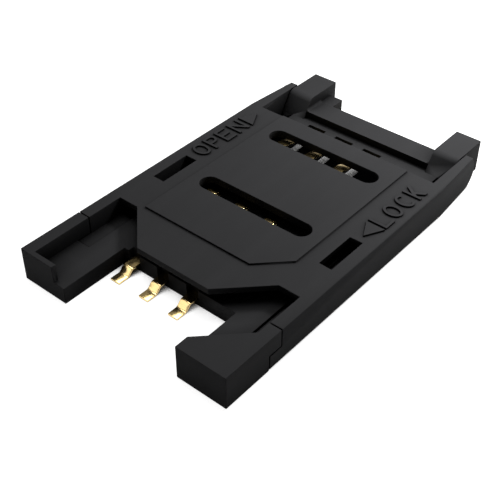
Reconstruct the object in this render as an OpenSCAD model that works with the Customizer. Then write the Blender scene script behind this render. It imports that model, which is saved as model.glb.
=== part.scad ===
// Flip-lid socket for a 15 x 25 mm chip card, shown closed, locked and empty.
// All lengths are millimetres. X runs to the right, Y from the open front to
// the hinge, Z up from the circuit board. Places along Y are written as
// distances from the front face, and each node is then moved to the centre.

/* [Housing] */
// overall width across the side walls
body_w = 17.1; // [16.4:0.1:18.5]
// overall length from the front face to the back of the hinge blocks
body_l = 29.6; // [29.2:0.1:31.5]
// height of the walls and of the lid above the board
body_h = 2.5; // [2.4:0.05:3]
// thickness of a side wall
wall_t = 0.93; // [0.8:0.01:1.1]
// height of the floor that the card lies on
floor_h = 1.25; // [1.15:0.05:1.35]
// width of the open bay between the two front arms
bay_w = 9.5; // [8.8:0.1:10]
// depth of the open bay from the front face
bay_l = 5.25; // [5:0.05:5.6]
// thickness of the stop lip in front of the card
lip_t = 0.38; // [0.25:0.01:0.6]
// length of the stop lip from the outer left face
lip_w = 2.88; // [2:0.02:3.2]
// offset of the 45 degree corner that keys the card
key_off = 3.72; // [3.4:0.02:4]

/* [Lid] */
// thickness of the top plate
plate_t = 0.45; // [0.35:0.01:0.5]
// front end of the side rails
seam_y = 4.9; // [4.7:0.05:5.2]
// reach of the lock ledges under the arm walls
lock_l = 1.1; // [0.8:0.05:1.3]
// extra travel once the lock ledges are free
slide_past = 0.15; // [0.1:0.01:0.3]
// height of the lock ledges and card guides
ledge_h = 1.12; // [1:0.02:1.14]
// width of the lock ledges and card guides inside the walls
ledge_w = 0.97; // [0.7:0.01:1.1]
// front edge of the plate beside the tongue
plate_y = 7.79; // [7.4:0.01:8.2]
// length of the tongue in front of the plate
tongue_l = 3.03; // [2.4:0.01:3.3]
// flat step between the tongue and each rail
tongue_in = 1.59; // [1.2:0.01:2]
// height of the raised card outline
pad_h = 0.13; // [0.04:0.01:0.15]
// half width of the raised card outline
pad_hw = 5.53; // [5.2:0.01:5.8]
// 45 degree corner of the raised card outline
pad_c = 2.05; // [1.5:0.05:2.5]
// set-back of the raised card outline from the plate's front edge
pad_in = 0.26; // [0.1:0.02:0.5]
// front end of each side slot over the card guides
guide_y = 11; // [10.4:0.05:11.4]
// length of each side slot over the card guides
guide_l = 3.33; // [2.6:0.01:3.8]
// half width of the two long windows
window_r = 0.73; // [0.5:0.01:0.9]
// straight length of the two long windows
window_l = 7.87; // [7:0.01:8.4]

/* [Hinge] */
// width of each hinge block
block_w = 2.03; // [1.7:0.01:2.3]
// length of each hinge block at the board
block_l = 3.82; // [3.6:0.02:4.1]
// height of the cross bar between the blocks
bar_h = 1.6; // [1.5:0.05:1.7]
// length of the cross bar
bar_l = 1.87; // [1.6:0.01:2]
// radius of the hollow fillets at the ends of the cross bar
bar_fillet = 0.25; // [0.2:0.05:0.7]
// radius of the top front edge of the hinge blocks
brow_r = 0.65; // [0.1:0.05:0.8]
// slope of the hinge blocks' fronts in degrees
front_turn = 58; // [45:1:75]
// height of the lower floor between the lid's plate and the hinge
back_h = 1.05; // [0.95:0.05:1.1]
// height of the floor of the two pits beside it
pit_h = 0.4; // [0.3:0.05:0.8]
// width of the foot behind the left end of the cross bar
foot_w = 1.15; // [0.8:0.05:1.4]
// length of the foot behind the left end of the cross bar
foot_l = 1.3; // [0.8:0.05:1.6]
// distance from the back edge of the lid's plate to the cross bar
back_gap = 2.9; // [2.5:0.05:3.1]
// radius of a hinge pin
pin_r = 0.4; // [0.3:0.01:0.45]
// reach of a hinge pin into its block
pin_deep = 0.62; // [0.4:0.02:0.9]
// reach of a hinge pin into its ear
pin_out = 0.4; // [0.3:0.01:0.42]
// hinge pin centre behind the front of the blocks
pin_in = 0.82; // [0.74:0.01:0.95]
// hinge pin centre above the board
pin_z = 1.3; // [1.26:0.01:1.34]
// upper corner of the ears behind the pin centre
ear_tip = 0.68; // [0.4:0.02:0.8]
// width lost by each ear at its tip
ear_taper = 0.38; // [0.1:0.02:0.42]

/* [Contacts] */
// pitch of the contacts
pitch = 2.54; // [2.4:0.01:2.6]
// left contact from the centre line
first_x = -3.88; // [-4:0.02:-3.7]
// crest of the front contacts from the front face
row_y = 12.8; // [12.4:0.05:13.1]
// distance between the two rows
row_gap = 7.6; // [7.3:0.02:7.8]
// width of a contact
contact_w = 0.8; // [0.6:0.02:0.9]
// thickness of the contact strip
strip_t = 0.13; // [0.1:0.01:0.2]
// underside of the strip where it leaves the housing
strip_z = 0.42; // [0.25:0.01:0.45]
// height of a free contact crest
crest_z = 1.92; // [1.7:0.02:1.92]
// rounded end of a contact behind its crest
crest_l = 0.55; // [0.4:0.05:0.7]
// length of the front solder tails
tail_f = 1.85; // [1.5:0.01:2]
// straight part of the front solder tails next to the housing
stub_l = 0.54; // [0.3:0.02:0.7]
// length of the bend down to the board in a solder tail
bend_l = 0.58; // [0.4:0.02:0.7]
// length of the back solder tails
tail_b = 1.3; // [1.1:0.01:1.6]
// depth of the front contacts' roots in the housing
root_f = 1.4; // [1.1:0.05:1.8]
// depth of the notches over the front contacts' roots
notch_l = 0.45; // [0.3:0.05:0.7]

/* [Fits] */
// gap beside, below and in front of the moving lid
side_gap = 0.08; // [0.05:0.01:0.1]
// running clearance round a hinge pin
pin_fit = 0.03; // [0.02:0.005:0.05]
// room beside a contact's spring in its slot
slot_side = 0.38; // [0.1:0.02:0.45]
// room past a contact's rounded end in its slot
slot_end = 0.24; // [0.1:0.02:0.4]
// floor left between the back slots and the cross bar
slot_back = 0.66; // [0.4:0.02:0.9]

/* [Hidden] */
$fn = 48;

// overlap of shapes that join
join = 0.1;
// reach of a cut past the face it leaves by
past = 1;
// points along a bend
bow = 12;

half = body_w / 2;
inner = half - wall_t;
block_out = inner - side_gap;
block_in = block_out - block_w;
guide_in = inner - ledge_w;
room_in = guide_in - side_gap;
slide = lock_l + slide_past;
ledge_y = seam_y - lock_l;
plate_z = body_h - plate_t;
block_y = body_l - block_l;
bar_y = block_y + bar_l;
back_y = block_y - back_gap;
slot_y = block_y - slot_back;
pin_y = block_y + pin_in;
ear_r = pin_z - side_gap;
window_x = first_x + 1.5 * pitch;
contact_out = contact_w / 2;
slot_out = contact_out + slot_side;
foot_x = min(foot_w - block_in, first_x - contact_out - side_gap);
centred = [0, -body_l / 2, 0];

// A share of 0 to 1 eased in and out along half a wave.
function eased(share) = (1 - cos(180 * share)) / 2;

// Upper edge of one contact from its solder tail over the root and the rising
// beam to the rounded crest, as distance into the housing face and height.
function upper_edge(tail, stub, run, root) =
    let (flat = stub + bend_l, lift = strip_t + strip_z)
    concat(
        [for (d = [-tail, -flat]) [d, strip_t]],
        [for (k = [1:bow]) [-flat + bend_l * k / bow, strip_t + strip_z * eased(k / bow)]],
        [for (k = [0:bow]) [root + (run - root) * k / bow,
                            lift + (crest_z - lift) * eased(k / bow)]],
        [for (k = [1:bow]) let (a = 90 * k / bow) [run + crest_l * sin(a),
                                                   crest_z - crest_l * (1 - cos(a))]]);

// The contact's section: its upper edge and the same edge one thickness below.
function strip(edge) =
    let (last = len(edge) - 1)
    concat(edge, [for (k = [last:-1:0])
        let (run = edge[min(k + 1, last)] - edge[max(k - 1, 0)])
        edge[k] + strip_t * [run[1], -run[0]] / norm(run)]);

// A block from its lowest corner to its highest.
module box(low, high) {
    translate(low) cube(high - low);
}

// A profile in Y and Z drawn out between two X positions.
module across(x0, x1) {
    translate([x0, 0, 0])
        rotate([90, 0, 90])
            linear_extrude(height = x1 - x0)
                children();
}

// A rod along X.
module rod(x0, x1, y, z, r) {
    translate([x0, y, z])
        rotate([0, 90, 0])
            cylinder(h = x1 - x0, r = r);
}

module both_sides() {
    children();
    mirror([1, 0, 0]) children();
}

// Side view of a hinge block: its front slopes back from the lower floor, to give the
// lid's back edge room to swing, and runs into a rounded top edge.
module block_side() {
    toe = block_y - (bar_h - back_h) / tan(front_turn);
    slope_l = (body_h - bar_h) / tan(front_turn);
    brow = [block_y + slope_l + brow_r * tan(front_turn / 2), body_h - brow_r];
    polygon(concat(
        [[body_l, body_h], [body_l, 0], [toe, 0], [toe, back_h]],
        [for (k = [bow:-1:0]) let (a = front_turn * k / bow) brow + brow_r * [-sin(a), cos(a)]]));
}

// A hinge block with the blind slot its pin slides in.
module hinge_block() {
    slot_x = block_out - pin_deep - side_gap;
    hole_r = pin_r + pin_fit;
    difference() {
        across(block_in, block_out) block_side();
        rod(slot_x, block_out + past, pin_y, pin_z, hole_r);
        rod(slot_x, block_out + past, pin_y + slide, pin_z, hole_r);
        box([slot_x, pin_y, pin_z - hole_r], [block_out + past, pin_y + slide, pin_z + hole_r]);
    }
}

// Hollow fillet between the cross bar and the inner side of a block.
module bar_end() {
    low = [block_in - bar_fillet, block_y, bar_h - join];
    high = [block_in + join, bar_y, bar_h + bar_fillet];
    difference() {
        intersection() {
            across(low[0], high[0]) block_side();
            box(low, high);
        }
        translate([low[0], block_y - past, high[2]])
            rotate([-90, 0, 0])
                cylinder(h = bar_l + 2 * past, r = bar_fillet);
    }
}

// The front right corner that only lets a card in the right way round.
module key_corner() {
    wall = inner + join;
    linear_extrude(height = body_h)
        polygon([[bay_w / 2, 0], [wall, 0], [wall, wall - key_off],
                 [bay_w / 2, bay_w / 2 - key_off]]);
}

// Space for a lock ledge and a card guide over the whole travel of the lid.
module ledge_room() {
    ledge_end = plate_y + slide + side_gap;
    box([room_in, ledge_y, -past], [half + past, ledge_end, ledge_h + side_gap]);
    box([room_in, ledge_y, 0], [inner, ledge_end, floor_h + join]);
    box([room_in, guide_y - side_gap, -past],
        [half, guide_y + guide_l + slide + side_gap, floor_h + join]);
    box([block_out, seam_y, -past], [half + past, bay_l + past, body_h + past]);
}

// Notch, seat and spring slot of a front contact, seat and slot of a back one.
module contact_room(x) {
    seat_top = strip_z + strip_t;
    box([x - contact_out - side_gap, bay_l - past, strip_z],
        [x + contact_out + side_gap, bay_l + notch_l, floor_h + join]);
    box([x - contact_out, bay_l, strip_z], [x + contact_out, bay_l + root_f + join, seat_top]);
    box([x - slot_out, bay_l + root_f, -past],
        [x + slot_out, row_y + crest_l + slot_end, floor_h + join]);
    box([x - contact_out, slot_y - join, strip_z], [x + contact_out, bar_y + past, seat_top]);
    box([x - slot_out, row_y + row_gap - crest_l - slot_end, -past],
        [x + slot_out, slot_y, floor_h + join]);
}

module base_shape() {
    difference() {
        union() {
            box([-block_out, bay_l, 0], [block_out, block_y + join, floor_h]);
            both_sides() {
                box([bay_w / 2, 0, 0], [half, bay_l + join, floor_h]);
                box([inner, 0, 0], [half, seam_y, body_h]);
                bar_end();
            }
            box([-half, 0, 0], [lip_w - half, lip_t, body_h]);
            key_corner();
            box([-block_in - join, block_y, 0], [block_in + join, bar_y, bar_h]);
            box([-block_in - join, bar_y - join, 0], [foot_x, bar_y + foot_l, bar_h]);
        }
        both_sides() {
            ledge_room();
            box([room_in, back_y, pit_h], [half, block_y, floor_h + join]);
        }
        box([-room_in - join, back_y, back_h], [room_in + join, block_y, floor_h + join]);
        for (k = [0:2]) contact_room(first_x + k * pitch);
    }
    both_sides() hinge_block();
}

module base() {
    color("#2a2a2c") translate(centred) base_shape();
}

// Plan of the top plate with its tongue.
module plate_plan() {
    wide = inner - tongue_in;
    side = inner + join;
    polygon([[wide - tongue_l, plate_y - tongue_l], [wide, plate_y], [side, plate_y],
             [side, back_y], [-side, back_y], [-side, plate_y], [-wide, plate_y],
             [tongue_l - wide, plate_y - tongue_l]]);
}

module pad_plan() {
    pad_y = plate_y + pad_in;
    pad_end = back_y - side_gap;
    polygon([[-pad_hw, pad_y], [pad_hw - pad_c, pad_y], [pad_hw, pad_y + pad_c],
             [pad_hw, pad_end], [-pad_hw, pad_end]]);
}

// Side view of a rail and its ear, rounded below the hinge pin.
module rail_side() {
    translate([seam_y + side_gap, side_gap])
        square([pin_y - seam_y - side_gap, body_h - side_gap]);
    translate([pin_y, pin_z])
        circle(r = ear_r);
    polygon([[pin_y - past, pin_z], [pin_y + ear_r, pin_z], [pin_y + ear_tip, body_h],
             [pin_y - past, body_h]]);
}

module rail() {
    ear_end = pin_y + ear_r;
    intersection() {
        across(inner, half)
            rail_side();
        linear_extrude(height = body_h + past)
            polygon([[inner - past, 0], [half, 0], [half, back_y], [half - ear_taper, ear_end],
                     [inner - past, ear_end]]);
    }
    box([guide_in, ledge_y + side_gap, side_gap], [half, plate_y, ledge_h]);
    box([guide_in, guide_y, side_gap], [inner + join, guide_y + guide_l, ledge_h]);
}

module window(y) {
    translate([window_x, y, plate_z - past])
        linear_extrude(height = plate_t + 2 * past) {
            for (s = [-1, 1]) translate([s * window_l / 2, 0]) circle(r = window_r);
            square([window_l, 2 * window_r], center = true);
        }
}

module lid_shape() {
    difference() {
        union() {
            translate([0, 0, plate_z])
                linear_extrude(height = plate_t)
                    plate_plan();
            translate([0, 0, body_h - join])
                linear_extrude(height = pad_h + join)
                    pad_plan();
            both_sides() rail();
        }
        window(row_y);
        window(row_y + row_gap);
        both_sides() {
            box([guide_in, guide_y, ledge_h + join], [inner, guide_y + guide_l, body_h + past]);
            rod(inner - past, inner + pin_out + side_gap, pin_y, pin_z, pin_r + pin_fit);
        }
    }
}

module lid() {
    color("#303032") translate(centred) lid_shape();
}

module hinge_pin() {
    rod(block_out - pin_deep, inner + pin_out, pin_y, pin_z, pin_r);
}

module hinge_pin_left() {
    color("#3a3a3c") translate(centred) mirror([1, 0, 0]) hinge_pin();
}

module hinge_pin_right() {
    color("#3a3a3c") translate(centred) hinge_pin();
}

module contact_front(k) {
    color("#d9b25a")
        translate(centred + [first_x + k * pitch, bay_l, 0])
            across(-contact_out, contact_out)
                polygon(strip(upper_edge(tail_f, stub_l, row_y - bay_l, root_f)));
}

module contact_rear(k) {
    crest = bar_y - row_y - row_gap;
    color("#d9b25a")
        translate(centred + [first_x + k * pitch, bar_y, 0])
            mirror([0, 1, 0])
                across(-contact_out, contact_out)
                    polygon(strip(upper_edge(tail_b, strip_t, crest, bar_l + slot_back)));
}

module contact_front_1() { contact_front(0); }
module contact_front_2() { contact_front(1); }
module contact_front_3() { contact_front(2); }
module contact_rear_1() { contact_rear(0); }
module contact_rear_2() { contact_rear(1); }
module contact_rear_3() { contact_rear(2); }

base();
lid();
hinge_pin_left();
hinge_pin_right();
contact_front_1();
contact_front_2();
contact_front_3();
contact_rear_1();
contact_rear_2();
contact_rear_3();
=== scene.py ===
# %% [markdown]
# A card socket in its finished looks
#
# The object is a small board connector: a black moulded housing, a black lid that
# slides and flips, and six gold plated spring contacts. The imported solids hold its
# sizes and its motion. This script gives each solid its moulded or stamped edges and
# its finish, adds the raised words on the lid, and sets up light and camera.

# %% Load the frame
import math

import bmesh
import bpy
from mathutils import Matrix, Vector
from mathutils.geometry import intersect_point_line


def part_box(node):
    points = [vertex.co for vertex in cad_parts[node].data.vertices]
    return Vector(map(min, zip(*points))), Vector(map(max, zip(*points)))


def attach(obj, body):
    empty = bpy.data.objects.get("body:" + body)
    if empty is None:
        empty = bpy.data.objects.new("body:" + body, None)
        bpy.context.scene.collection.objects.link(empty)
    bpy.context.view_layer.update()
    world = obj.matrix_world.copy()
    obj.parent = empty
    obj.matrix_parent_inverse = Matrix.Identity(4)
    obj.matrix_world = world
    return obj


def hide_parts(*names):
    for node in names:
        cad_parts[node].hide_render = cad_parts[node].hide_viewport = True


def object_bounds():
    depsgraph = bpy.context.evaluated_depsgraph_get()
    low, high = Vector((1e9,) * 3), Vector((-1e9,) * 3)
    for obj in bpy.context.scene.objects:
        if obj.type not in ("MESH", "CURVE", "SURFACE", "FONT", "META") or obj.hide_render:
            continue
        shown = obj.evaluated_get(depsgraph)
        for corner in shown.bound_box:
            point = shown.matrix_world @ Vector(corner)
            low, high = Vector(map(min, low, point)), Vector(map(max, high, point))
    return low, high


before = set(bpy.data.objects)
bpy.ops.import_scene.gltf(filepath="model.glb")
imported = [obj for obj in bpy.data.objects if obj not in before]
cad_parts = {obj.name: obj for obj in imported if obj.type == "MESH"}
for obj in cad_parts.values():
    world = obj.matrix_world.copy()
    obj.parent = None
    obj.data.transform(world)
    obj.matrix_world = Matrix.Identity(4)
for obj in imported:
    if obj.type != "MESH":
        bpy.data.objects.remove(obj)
cad_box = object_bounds()
low, high = Vector(cad_box[0]), Vector(cad_box[1])
print("solids:", sorted(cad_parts))
print("box in mm:", [round(1000 * side, 2) for side in high - low])

# %% [markdown]
# Three helpers are used in every step. Real sizes are written in millimetres and turned
# to metres by one function. Colours are written as sRGB hex values, as a paint chart
# gives them, and a shader wants them linear. A shader or geometry tree is a list of
# nodes, so one function adds a node, sets it up and links what feeds it. Most inputs are
# given by name. A Mix node has the same names for numbers and for colours, so its inputs
# are given by number: 2 and 3 are the numbers, 6 and 7 the colours.


# %% Millimetres, colours and nodes
def mm(size):
    return size / 1000


def linear(hex_colour):
    parts = [int(hex_colour[k:k + 2], 16) / 255 for k in (1, 3, 5)]
    return [c / 12.92 if c <= 0.04045 else ((c + 0.055) / 1.055) ** 2.4 for c in parts] + [1.0]


def add(tree, kind, feeds=None, **settings):
    """Adds one node with its own settings: feeds maps inputs to values or to other outputs."""
    made = tree.nodes.new(kind)
    for option, value in settings.items():
        setattr(made, option, value)
    for name, value in (feeds or {}).items():
        if isinstance(value, bpy.types.NodeSocket):
            tree.links.new(value, made.inputs[name])
        else:
            made.inputs[name].default_value = value
    return made


print("mid grey in linear light:", round(linear("#808080")[0], 3))

# %% [markdown]
# The photograph was taken from the front right, about forty degrees up, from close by,
# so near edges look longer than far ones. A camera has six numbers for its place and
# its turn and one for its lens. They were found by matching the corners of the housing,
# and are written here as angles, as a photographer would say them.

# %% Camera
IMAGE_PX = 500
FOCAL_PX = 952.96
SENSOR_MM = 36
NEAREST_MM = 1
EYE = Vector((mm(31.86), mm(-40.98), mm(41.07)))
AZIMUTH = math.radians(39.61)
ELEVATION = math.radians(40.03)
ROLL = math.radians(0.40)

backward = Vector((math.sin(AZIMUTH) * math.cos(ELEVATION),
                   -math.cos(AZIMUTH) * math.cos(ELEVATION),
                   math.sin(ELEVATION)))
level = Vector((math.cos(AZIMUTH), math.sin(AZIMUTH), 0))
upward = backward.cross(level)
right = level * math.cos(ROLL) + upward * math.sin(ROLL)
up = backward.cross(right)

camera = bpy.data.objects.new("camera", bpy.data.cameras.new("camera"))
camera.data.sensor_width = SENSOR_MM
camera.data.lens = FOCAL_PX / IMAGE_PX * SENSOR_MM
camera.data.clip_start = mm(NEAREST_MM)
camera.matrix_world = Matrix((
    (right.x, up.x, backward.x, EYE.x),
    (right.y, up.y, backward.y, EYE.y),
    (right.z, up.z, backward.z, EYE.z),
    (0, 0, 0, 1)))
bpy.context.scene.collection.objects.link(camera)
bpy.context.scene.camera = camera
bpy.context.scene.view_settings.view_transform = "Standard"
print("lens in mm:", round(camera.data.lens, 2))

# %% [markdown]
# Catalogue pictures stand on white. The floor is a plain pale sheet that still takes the
# shadow: to the camera and in reflections it glows a little, so that it reads as white,
# while the light that it throws back onto the dark plastic stays low. Where the socket
# covers it, less than about a third of the sky can be seen from it. There a painted shadow,
# a plain grey sheet, takes its place, so it doesn't shine up through the slots below the
# contacts. The room is white around the horizon and dim towards its ceiling, so metal shows
# light and dark.

# %% Floor and surroundings
FLOOR_SPAN = 4.0
FLOOR_DROP = mm(0.02)
FLOOR_GLOW = 0.90
FLOOR_COLOUR = "#b4b4b4"
PAINTED_SHADOW_COLOUR = "#707070"
COVER_MM = 3.0
COVER_RAYS = 12
COVERED = 0.25
UNCOVERED = 0.36
SKY_LEVEL = 0.05
CEILING_LEVEL = 0.25
CEILING_FROM = 0.25


def ray_kinds(tree):
    """Two numbers that are 1 for rays from the camera, and for those that gloss or glass sends on."""
    path = add(tree, "ShaderNodeLightPath").outputs
    sent_on = add(tree, "ShaderNodeMath",
                  {0: path["Is Glossy Ray"], 1: path["Is Transmission Ray"]}, operation="MAXIMUM")
    return path["Is Camera Ray"], sent_on.outputs[0]


floor_paper = bpy.data.materials.new("white_paper")
floor_paper.use_nodes = True
tree = floor_paper.node_tree
tree.nodes.clear()
seen, mirrored = ray_kinds(tree)
either = add(tree, "ShaderNodeMath", {0: seen, 1: mirrored}, operation="MAXIMUM")
amount = add(tree, "ShaderNodeMath", {0: either.outputs[0], 1: FLOOR_GLOW}, operation="MULTIPLY")
sheet = add(tree, "ShaderNodeBsdfDiffuse", {"Color": linear(FLOOR_COLOUR)})
glow = add(tree, "ShaderNodeEmission", {"Strength": amount.outputs[0]})
both = add(tree, "ShaderNodeAddShader", {0: sheet.outputs[0], 1: glow.outputs[0]})
# Painted shadow: where little sky reaches the floor, it turns to this plain grey.
painted_shadow = add(tree, "ShaderNodeBsdfDiffuse", {"Color": linear(PAINTED_SHADOW_COLOUR)})
cover = add(tree, "ShaderNodeAmbientOcclusion", {"Distance": mm(COVER_MM)}, samples=COVER_RAYS)
in_the_open = add(tree, "ShaderNodeMapRange",
                  {"Value": cover.outputs["AO"], "From Min": COVERED, "From Max": UNCOVERED})
paper = add(tree, "ShaderNodeMixShader",
            {0: in_the_open.outputs[0], 1: painted_shadow.outputs[0], 2: both.outputs[0]})
add(tree, "ShaderNodeOutputMaterial", {"Surface": paper.outputs[0]})

bpy.ops.mesh.primitive_plane_add(size=FLOOR_SPAN, location=(0, 0, low.z - FLOOR_DROP))
floor = bpy.context.object
floor.name = "floor"
floor.data.materials.append(floor_paper)

world = bpy.data.worlds.new("studio")
bpy.context.scene.world = world
world.use_nodes = True
tree = world.node_tree
tree.nodes.clear()
seen, mirrored = ray_kinds(tree)
heading = add(tree, "ShaderNodeSeparateXYZ",
              {0: add(tree, "ShaderNodeTexCoord").outputs["Generated"]})
room = add(tree, "ShaderNodeMapRange",
           {"Value": heading.outputs["Z"], "From Min": 0.0, "From Max": CEILING_FROM,
            "To Min": 1.0, "To Max": CEILING_LEVEL})
lit = add(tree, "ShaderNodeMix", {0: mirrored, 2: SKY_LEVEL, 3: room.outputs[0]})
brightness = add(tree, "ShaderNodeMix", {0: seen, 2: lit.outputs[0], 3: 1.0})
sky = add(tree, "ShaderNodeBackground", {"Strength": brightness.outputs[0]})
add(tree, "ShaderNodeOutputWorld", {"Surface": sky.outputs[0]})
print("floor and sky are set")

# %% [markdown]
# Three soft boxes light the socket. The large one hangs high above, a little to the left
# and the back, so tops are lighter than sides. The second is close and points straight
# down behind the right half of the hinge: light falls off with distance, so the lid grows
# lighter towards that corner, as it does in the picture. The third stands in front on the
# left and shows only in reflections: it puts a gleam on the bends of the contacts.

# %% Lights
def soft_box(name, place, side, power, target=(0, 0, 0)):
    """A square lamp that faces the middle of the object, or another target: sizes are in mm."""
    lamp = bpy.data.lights.new(name, "AREA")
    lamp.size = mm(side)
    lamp.energy = power
    carrier = bpy.data.objects.new(name, lamp)
    carrier.location = [mm(part) for part in place]
    ahead = Vector([mm(part) for part in target]) - carrier.location
    carrier.rotation_euler = ahead.to_track_quat("-Z", "Y").to_euler()
    carrier.visible_camera = False
    bpy.context.scene.collection.objects.link(carrier)
    return carrier


soft_box("overhead", (-80, 60, 395), 240, 0.92)
soft_box("corner", (8, 23, 30), 8, 0.0157, target=(8, 23, 0))
soft_box("gleam", (-60, -80, 70), 90, 0.036).visible_diffuse = False

# %% [markdown]
# The housing and the lid are liquid crystal polymer with glass fibre, the usual plastic
# for sockets that go through a solder oven. It comes from a spark eroded mould, so its
# black faces have a fine dull grain, and the fibres leave faint streaks along the way
# that the plastic flowed. The grain is really about 0.03 mm and is drawn coarser, so
# that it shows. The pockets should be darker than these lamps alone make them, so shade
# is painted into the colour: it falls off towards black where near faces close in on a point.

# %% Black moulded plastic
GRAIN_MM = 0.09
GRAIN_STRENGTH = 0.5
FLOW_MM = 1.6
FLOW_STRETCH = 0.25
CORNER_MM = 2.0
CORNER_RAYS = 8
PAINTED_SHADE_POWER = 1.8
NOISE_LOW, NOISE_HIGH = 0.3, 0.7
GLOSS_SPREAD = 0.06
PLASTIC_IOR = 1.5
PLASTIC_SHINE = 0.014


def moulded_plastic(name, dark, pale, gloss, grain_depth):
    """Dull black plastic with painted shade in its corners: gloss is its mean roughness, and
    grain_depth is in mm.
    """
    material = bpy.data.materials.new(name)
    material.use_nodes = True
    tree = material.node_tree
    tree.nodes.clear()
    place = add(tree, "ShaderNodeTexCoord").outputs["Object"]
    grain = add(tree, "ShaderNodeTexNoise",
                {"Vector": place, "Scale": 1 / mm(GRAIN_MM), "Detail": 3.0, "Roughness": 0.6})
    drawn_out = add(tree, "ShaderNodeMapping", {"Vector": place, "Scale": (1, FLOW_STRETCH, 1)})
    flow = add(tree, "ShaderNodeTexNoise",
               {"Vector": drawn_out.outputs[0], "Scale": 1 / mm(FLOW_MM), "Detail": 4.0})
    tone = add(tree, "ShaderNodeMix", {0: flow.outputs[0], 6: linear(dark), 7: linear(pale)},
               data_type="RGBA")
    # Painted shade: the colour goes towards black by how closed in each point is.
    corner = add(tree, "ShaderNodeAmbientOcclusion", {"Distance": mm(CORNER_MM)},
                 samples=CORNER_RAYS)
    open_sky = add(tree, "ShaderNodeMath", {0: corner.outputs["AO"], 1: PAINTED_SHADE_POWER},
                   operation="POWER")
    painted_shade_tone = add(tree, "ShaderNodeMix",
                 {0: open_sky.outputs[0], 6: linear("#000000"), 7: tone.outputs[2]},
                 data_type="RGBA")
    dull = add(tree, "ShaderNodeMapRange",
               {"Value": grain.outputs[0], "From Min": NOISE_LOW, "From Max": NOISE_HIGH,
                "To Min": gloss - GLOSS_SPREAD, "To Max": gloss + GLOSS_SPREAD})
    relief = add(tree, "ShaderNodeBump",
                 {"Height": grain.outputs[0], "Strength": GRAIN_STRENGTH,
                  "Distance": mm(grain_depth)})
    skin = add(tree, "ShaderNodeBsdfPrincipled",
               {"Base Color": painted_shade_tone.outputs[2], "Roughness": dull.outputs[0],
                "Normal": relief.outputs[0], "IOR": PLASTIC_IOR,
                "Specular IOR Level": PLASTIC_SHINE})
    add(tree, "ShaderNodeOutputMaterial", {"Surface": skin.outputs[0]})
    return material


housing_plastic = moulded_plastic("glass_filled_polymer_housing", "#313132", "#373738", 0.56, 0.006)
lid_plastic = moulded_plastic("glass_filled_polymer_lid", "#323233", "#383839", 0.54, 0.006)
pin_plastic = moulded_plastic("smooth_polymer_pins", "#1c1c1d", "#222223", 0.36, 0.002)
print("plastics:", housing_plastic.name, lid_plastic.name, pin_plastic.name)

# %% [markdown]
# The contacts are stamped from spring bronze and plated with gold over nickel. Plating
# is bright and copies the lines that the rolls left in the strip, so the shine is broken
# up across the strip and hardly along it. Thin gold is also a little paler in places.

# %% Gold plate
ROLL_LINE_MM = 0.05
ROLL_STRETCH = 0.06
LINE_DEPTH_MM = 0.002
LINE_STRENGTH = 0.1
SMOOTHEST, ROUGHEST = 0.14, 0.26
PATCH_MM = 0.8
FULL_GOLD, PALE_GOLD = "#e0bd7a", "#f3dca2"

gold_plate = bpy.data.materials.new("gold_plated_bronze")
gold_plate.use_nodes = True
tree = gold_plate.node_tree
tree.nodes.clear()
place = add(tree, "ShaderNodeTexCoord").outputs["Object"]
rolled = add(tree, "ShaderNodeMapping", {"Vector": place, "Scale": (1, ROLL_STRETCH, 1)})
lines = add(tree, "ShaderNodeTexNoise",
            {"Vector": rolled.outputs[0], "Scale": 1 / mm(ROLL_LINE_MM), "Detail": 2.0})
patches = add(tree, "ShaderNodeTexNoise", {"Vector": place, "Scale": 1 / mm(PATCH_MM)})
hue = add(tree, "ShaderNodeMix",
          {0: patches.outputs[0], 6: linear(FULL_GOLD), 7: linear(PALE_GOLD)}, data_type="RGBA")
polish = add(tree, "ShaderNodeMapRange",
             {"Value": lines.outputs[0], "From Min": NOISE_LOW, "From Max": NOISE_HIGH,
              "To Min": SMOOTHEST, "To Max": ROUGHEST})
scratch = add(tree, "ShaderNodeBump",
              {"Height": lines.outputs[0], "Strength": LINE_STRENGTH,
               "Distance": mm(LINE_DEPTH_MM)})
plate = add(tree, "ShaderNodeBsdfPrincipled",
            {"Base Color": hue.outputs[2], "Metallic": 1.0, "Roughness": polish.outputs[0],
             "Normal": scratch.outputs[0]})
add(tree, "ShaderNodeOutputMaterial", {"Surface": plate.outputs[0]})
print("metal:", gold_plate.name)

# %% [markdown]
# A solid from the drawing office has knife edges. A moulded or stamped edge has a small
# radius that catches a line of light. The radius could be faked in the shader, but a real
# one also shows in the outline, so each solid is copied, its loose triangles are joined
# into faces, its outward edges are rounded, and the copy stands in for the solid. An edge
# stays sharp where a face is too narrow for it, because a radius there would turn the
# face over.

# %% Moulded and stamped edges
SHARP = math.radians(35)
FLAT = math.radians(1)
TURNED_BACK = math.cos(math.radians(155))
SAME_POINT = mm(0.001)
EDGE_STEPS = 2


def distance(point, start, end):
    """From a point to the nearest place on a straight edge."""
    share = intersect_point_line(point, start, end)[1]
    return (point - start.lerp(end, min(max(share, 0), 1))).length


def has_room(edge, radius):
    """True if no edge that runs back along this one, round the same face, is within two radii."""
    for loop in edge.link_loops:
        a, b = loop.vert.co, loop.link_loop_next.vert.co
        for other in loop.face.loops:
            c, d = other.vert.co, other.link_loop_next.vert.co
            if (b - a).normalized().dot((d - c).normalized()) < TURNED_BACK:
                near = min(distance(a, c, d), distance(b, c, d),
                           distance(c, a, b), distance(d, a, b))
                if near < 2 * radius:
                    return False
    return True


def applied(piece):
    """Makes what a piece's modifiers show its own mesh."""
    graph = bpy.context.evaluated_depsgraph_get()
    made = bpy.data.meshes.new_from_object(piece.evaluated_get(graph))
    piece.modifiers.clear()
    piece.data = made


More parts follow.
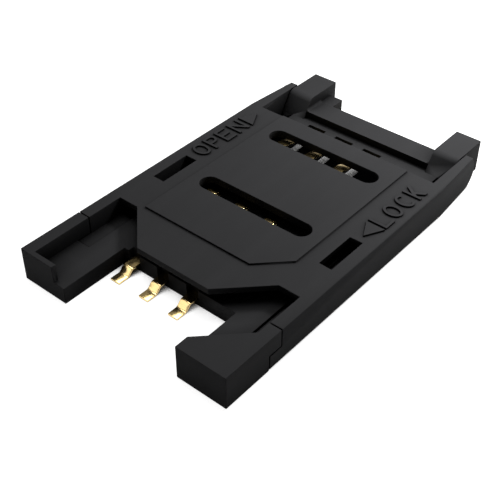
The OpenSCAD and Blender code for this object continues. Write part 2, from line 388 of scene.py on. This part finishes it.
def softened(piece, radius):
    """Rounds a piece's outward edges and keeps its flats flat to the light."""
    work = bmesh.new()
    work.from_mesh(piece.data)
    weight = work.edges.layers.float.new("bevel_weight_edge")
    for edge in work.edges:
        sharp = edge.calc_face_angle() > SHARP
        rounds = sharp and edge.is_convex and has_room(edge, mm(radius))
        edge[weight] = float(rounds)
        edge.smooth = rounds or not sharp
    work.to_mesh(piece.data)
    work.free()
    bevel = piece.modifiers.new("edge", "BEVEL")
    bevel.width = mm(radius)
    bevel.segments = EDGE_STEPS
    bevel.limit_method = "WEIGHT"
    bevel.use_clamp_overlap = False
    shade = piece.modifiers.new("shade", "WEIGHTED_NORMAL")
    shade.mode = "FACE_AREA"
    shade.keep_sharp = True
    applied(piece)
    print(piece.name, len(piece.data.polygons), "faces")


def rounded(node, body, material, radius):
    """Makes a copy of a solid with its edges rounded, which then shows in its place."""
    work = bmesh.new()
    work.from_mesh(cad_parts[node].data)
    bmesh.ops.remove_doubles(work, verts=work.verts, dist=SAME_POINT)
    bmesh.ops.dissolve_limit(work, angle_limit=FLAT, verts=work.verts, edges=work.edges)
    mesh = bpy.data.meshes.new(node + "_shape")
    work.to_mesh(mesh)
    work.free()
    mesh.materials.clear()
    mesh.materials.append(material)
    mesh.shade_smooth()
    piece = bpy.data.objects.new(node + "_finished", mesh)
    bpy.context.scene.collection.objects.link(piece)
    softened(piece, radius)
    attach(piece, body)
    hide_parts(node)


EDGE_MM = 0.035
PIN_EDGE_MM = 0.04
STAMPED_EDGE_MM = 0.025
rounded("base", "housing", housing_plastic, EDGE_MM)
rounded("lid", "lid", lid_plastic, EDGE_MM)
for side in ("left", "right"):
    rounded("hinge_pin_" + side, "hinge_carriage", pin_plastic, PIN_EDGE_MM)
for row in ("front", "rear"):
    for k in (1, 2, 3):
        rounded(f"contact_{row}_{k}", "housing", gold_plate, STAMPED_EDGE_MM)

# %% [markdown]
# The lid tells its two positions in raised capitals, with a solid arrow that shows which
# way to push. The mould cutter drew them with one plain stroke width, narrower than a
# screen font does, so the outlines are drawn here: straight strokes by their corners, round
# ones by arcs. Each function takes a letter's width, its height and its stroke, and gives
# its outline and any hole in it. A point's first number goes the way that the word reads,
# and its second one goes up to the letter's top.

# %% Letter outlines
LETTER_MM = 1.45
STROKE_MM = 0.19
ARC_STEPS = 20


def arc(mid, wide, tall, start, end):
    """Points along part of an ellipse, from one angle to another."""
    turns = [math.radians(start + (end - start) * k / ARC_STEPS) for k in range(ARC_STEPS + 1)]
    return [(mid[0] + wide * math.cos(t), mid[1] + tall * math.sin(t)) for t in turns]


def letter_o(w, h, s):
    mid = (w / 2, h / 2)
    return [arc(mid, w / 2, h / 2, 0, 360)[:-1], arc(mid, w / 2 - s, h / 2 - s, 0, 360)[:-1]]


def letter_c(w, h, s):
    mid = (w / 2, h / 2)
    return [arc(mid, w / 2, h / 2, 48, 312) + arc(mid, w / 2 - s, h / 2 - s, 308, 52)]


def letter_p(w, h, s):
    foot = 0.42 * h
    bowl = (h - foot) / 2
    mid = (w - bowl, foot + bowl)
    outer = [(s, foot), (s, 0), (0, 0), (0, h)] + arc(mid, bowl, bowl, 90, -90)
    inner = [(s, foot + s), (s, h - s)] + arc(mid, bowl - s, bowl - s, 90, -90)
    return [outer, inner]


def letter_e(w, h, s):
    arm, low_side, high_side = 0.9 * w, (h - s) / 2, (h + s) / 2
    return [[(0, 0), (w, 0), (w, s), (s, s), (s, low_side), (arm, low_side), (arm, high_side),
             (s, high_side), (s, h - s), (w, h - s), (w, h), (0, h)]]


def letter_n(w, h, s):
    slant = 1.9 * s
    return [[(0, 0), (s, 0), (s, h - slant), (w - s, 0), (w, 0), (w, h), (w - s, h),
             (w - s, slant), (s, h), (0, h)]]


def letter_l(w, h, s):
    return [[(0, 0), (w, 0), (w, s), (s, s), (s, h), (0, h)]]


def letter_k(w, h, s):
    fork, thick = 0.28 * h, 1.45 * s
    on_arm = [(s + t * (w - s), fork + t * (h - fork)) for t in (0.16, 0.35)]
    return [[(0, 0), (s, 0), (s, fork), on_arm[0], (w - thick, 0), (w, 0), on_arm[1], (w, h),
             (w - thick, h), (s, fork + thick * (h - fork) / (w - s)), (s, h), (0, h)]]


def arrow(w, h, s):
    """An arrow head, which has no stroke: w is its signed length along the word."""
    return [[(0, 0), (w, h / 2), (0, h)]]


for sign in (letter_o, letter_p, letter_e, letter_n, letter_l, letter_c, letter_k, arrow):
    corners = sum(len(loop) for loop in sign(1, LETTER_MM, STROKE_MM))
    print(sign.__name__, "has", corners, "points")

# %% [markdown]
# A letter is an outline that is filled and drawn out upwards, the same for every word, so
# one geometry tree makes both from the loops of edges that it is given. The plate of the
# lid is level with the arms of the housing, so the letters start there. They stand as
# high as the card outline on the lid, and their edges are rounded as those of the lid are.

# %% Raised words
LID_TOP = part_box("base")[1].z
RELIEF = high.z - LID_TOP
LETTER_EDGE_MM = 0.012

word_tree = bpy.data.node_groups.new("raised_word", "GeometryNodeTree")
inputs = {}
for title, kind in (("Outlines", "Geometry"), ("Height", "Float"), ("Relief", "Float"),
                    ("Plastic", "Material")):
    inputs[title] = word_tree.interface.new_socket(title, in_out="INPUT",
                                                   socket_type="NodeSocket" + kind)
word_tree.interface.new_socket("Letters", in_out="OUTPUT", socket_type="NodeSocketGeometry")
given = add(word_tree, "NodeGroupInput").outputs
curves = add(word_tree, "GeometryNodeMeshToCurve", {0: given["Outlines"]})
faces = add(word_tree, "GeometryNodeFillCurve", {0: curves.outputs[0]}, mode="NGONS")
raised = add(word_tree, "GeometryNodeExtrudeMesh",
             {"Mesh": faces.outputs[0], "Offset Scale": given["Relief"], "Individual": False})
underside = add(word_tree, "GeometryNodeFlipFaces", {0: faces.outputs[0]})
closed = add(word_tree, "GeometryNodeJoinGeometry")
for part in (raised, underside):
    word_tree.links.new(part.outputs[0], closed.inputs[0])
welded = add(word_tree, "GeometryNodeMergeByDistance",
             {"Geometry": closed.outputs[0], "Distance": SAME_POINT})
upright = add(word_tree, "ShaderNodeCombineXYZ", {"Z": given["Height"]})
lifted = add(word_tree, "GeometryNodeTransform",
             {"Geometry": welded.outputs[0], "Translation": upright.outputs[0]})
whole = add(word_tree, "GeometryNodeRealizeInstances", {0: lifted.outputs[0]})
coated = add(word_tree, "GeometryNodeSetMaterial",
             {"Geometry": whole.outputs[0], "Material": given["Plastic"]})
add(word_tree, "NodeGroupOutput", {0: coated.outputs[0]})


def raised_word(name, foot_x, signs):
    """A word with its letters' feet at foot_x: signs gives each letter, its start and its width."""
    points, edges = [], []
    for outline, start, width in signs:
        for loop in outline(width, LETTER_MM, STROKE_MM):
            first, count = len(points), len(loop)
            points += [(mm(foot_x - rise), low.y + mm(start + across), 0) for across, rise in loop]
            edges += [(first + k, first + (k + 1) % count) for k in range(count)]
    mesh = bpy.data.meshes.new(name)
    mesh.from_pydata(points, edges, [])
    piece = bpy.data.objects.new(name, mesh)
    bpy.context.scene.collection.objects.link(piece)
    maker = piece.modifiers.new("word", "NODES")
    maker.node_group = word_tree
    for title, value in (("Height", LID_TOP), ("Relief", RELIEF), ("Plastic", lid_plastic)):
        maker[inputs[title].identifier] = value
    applied(piece)
    softened(piece, LETTER_EDGE_MM)
    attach(piece, "lid")


raised_word("word_open", -6.47, [(letter_o, 14.95, 1.10), (letter_p, 16.30, 1.00),
                                 (letter_e, 17.55, 1.05), (letter_n, 18.94, 1.11),
                                 (arrow, 20.35, 1.39)])
raised_word("word_lock", 8.02, [(arrow, 16.25, -1.39), (letter_l, 16.45, 1.02),
                                (letter_o, 17.75, 1.10), (letter_c, 19.18, 1.07),
                                (letter_k, 20.50, 0.95)])
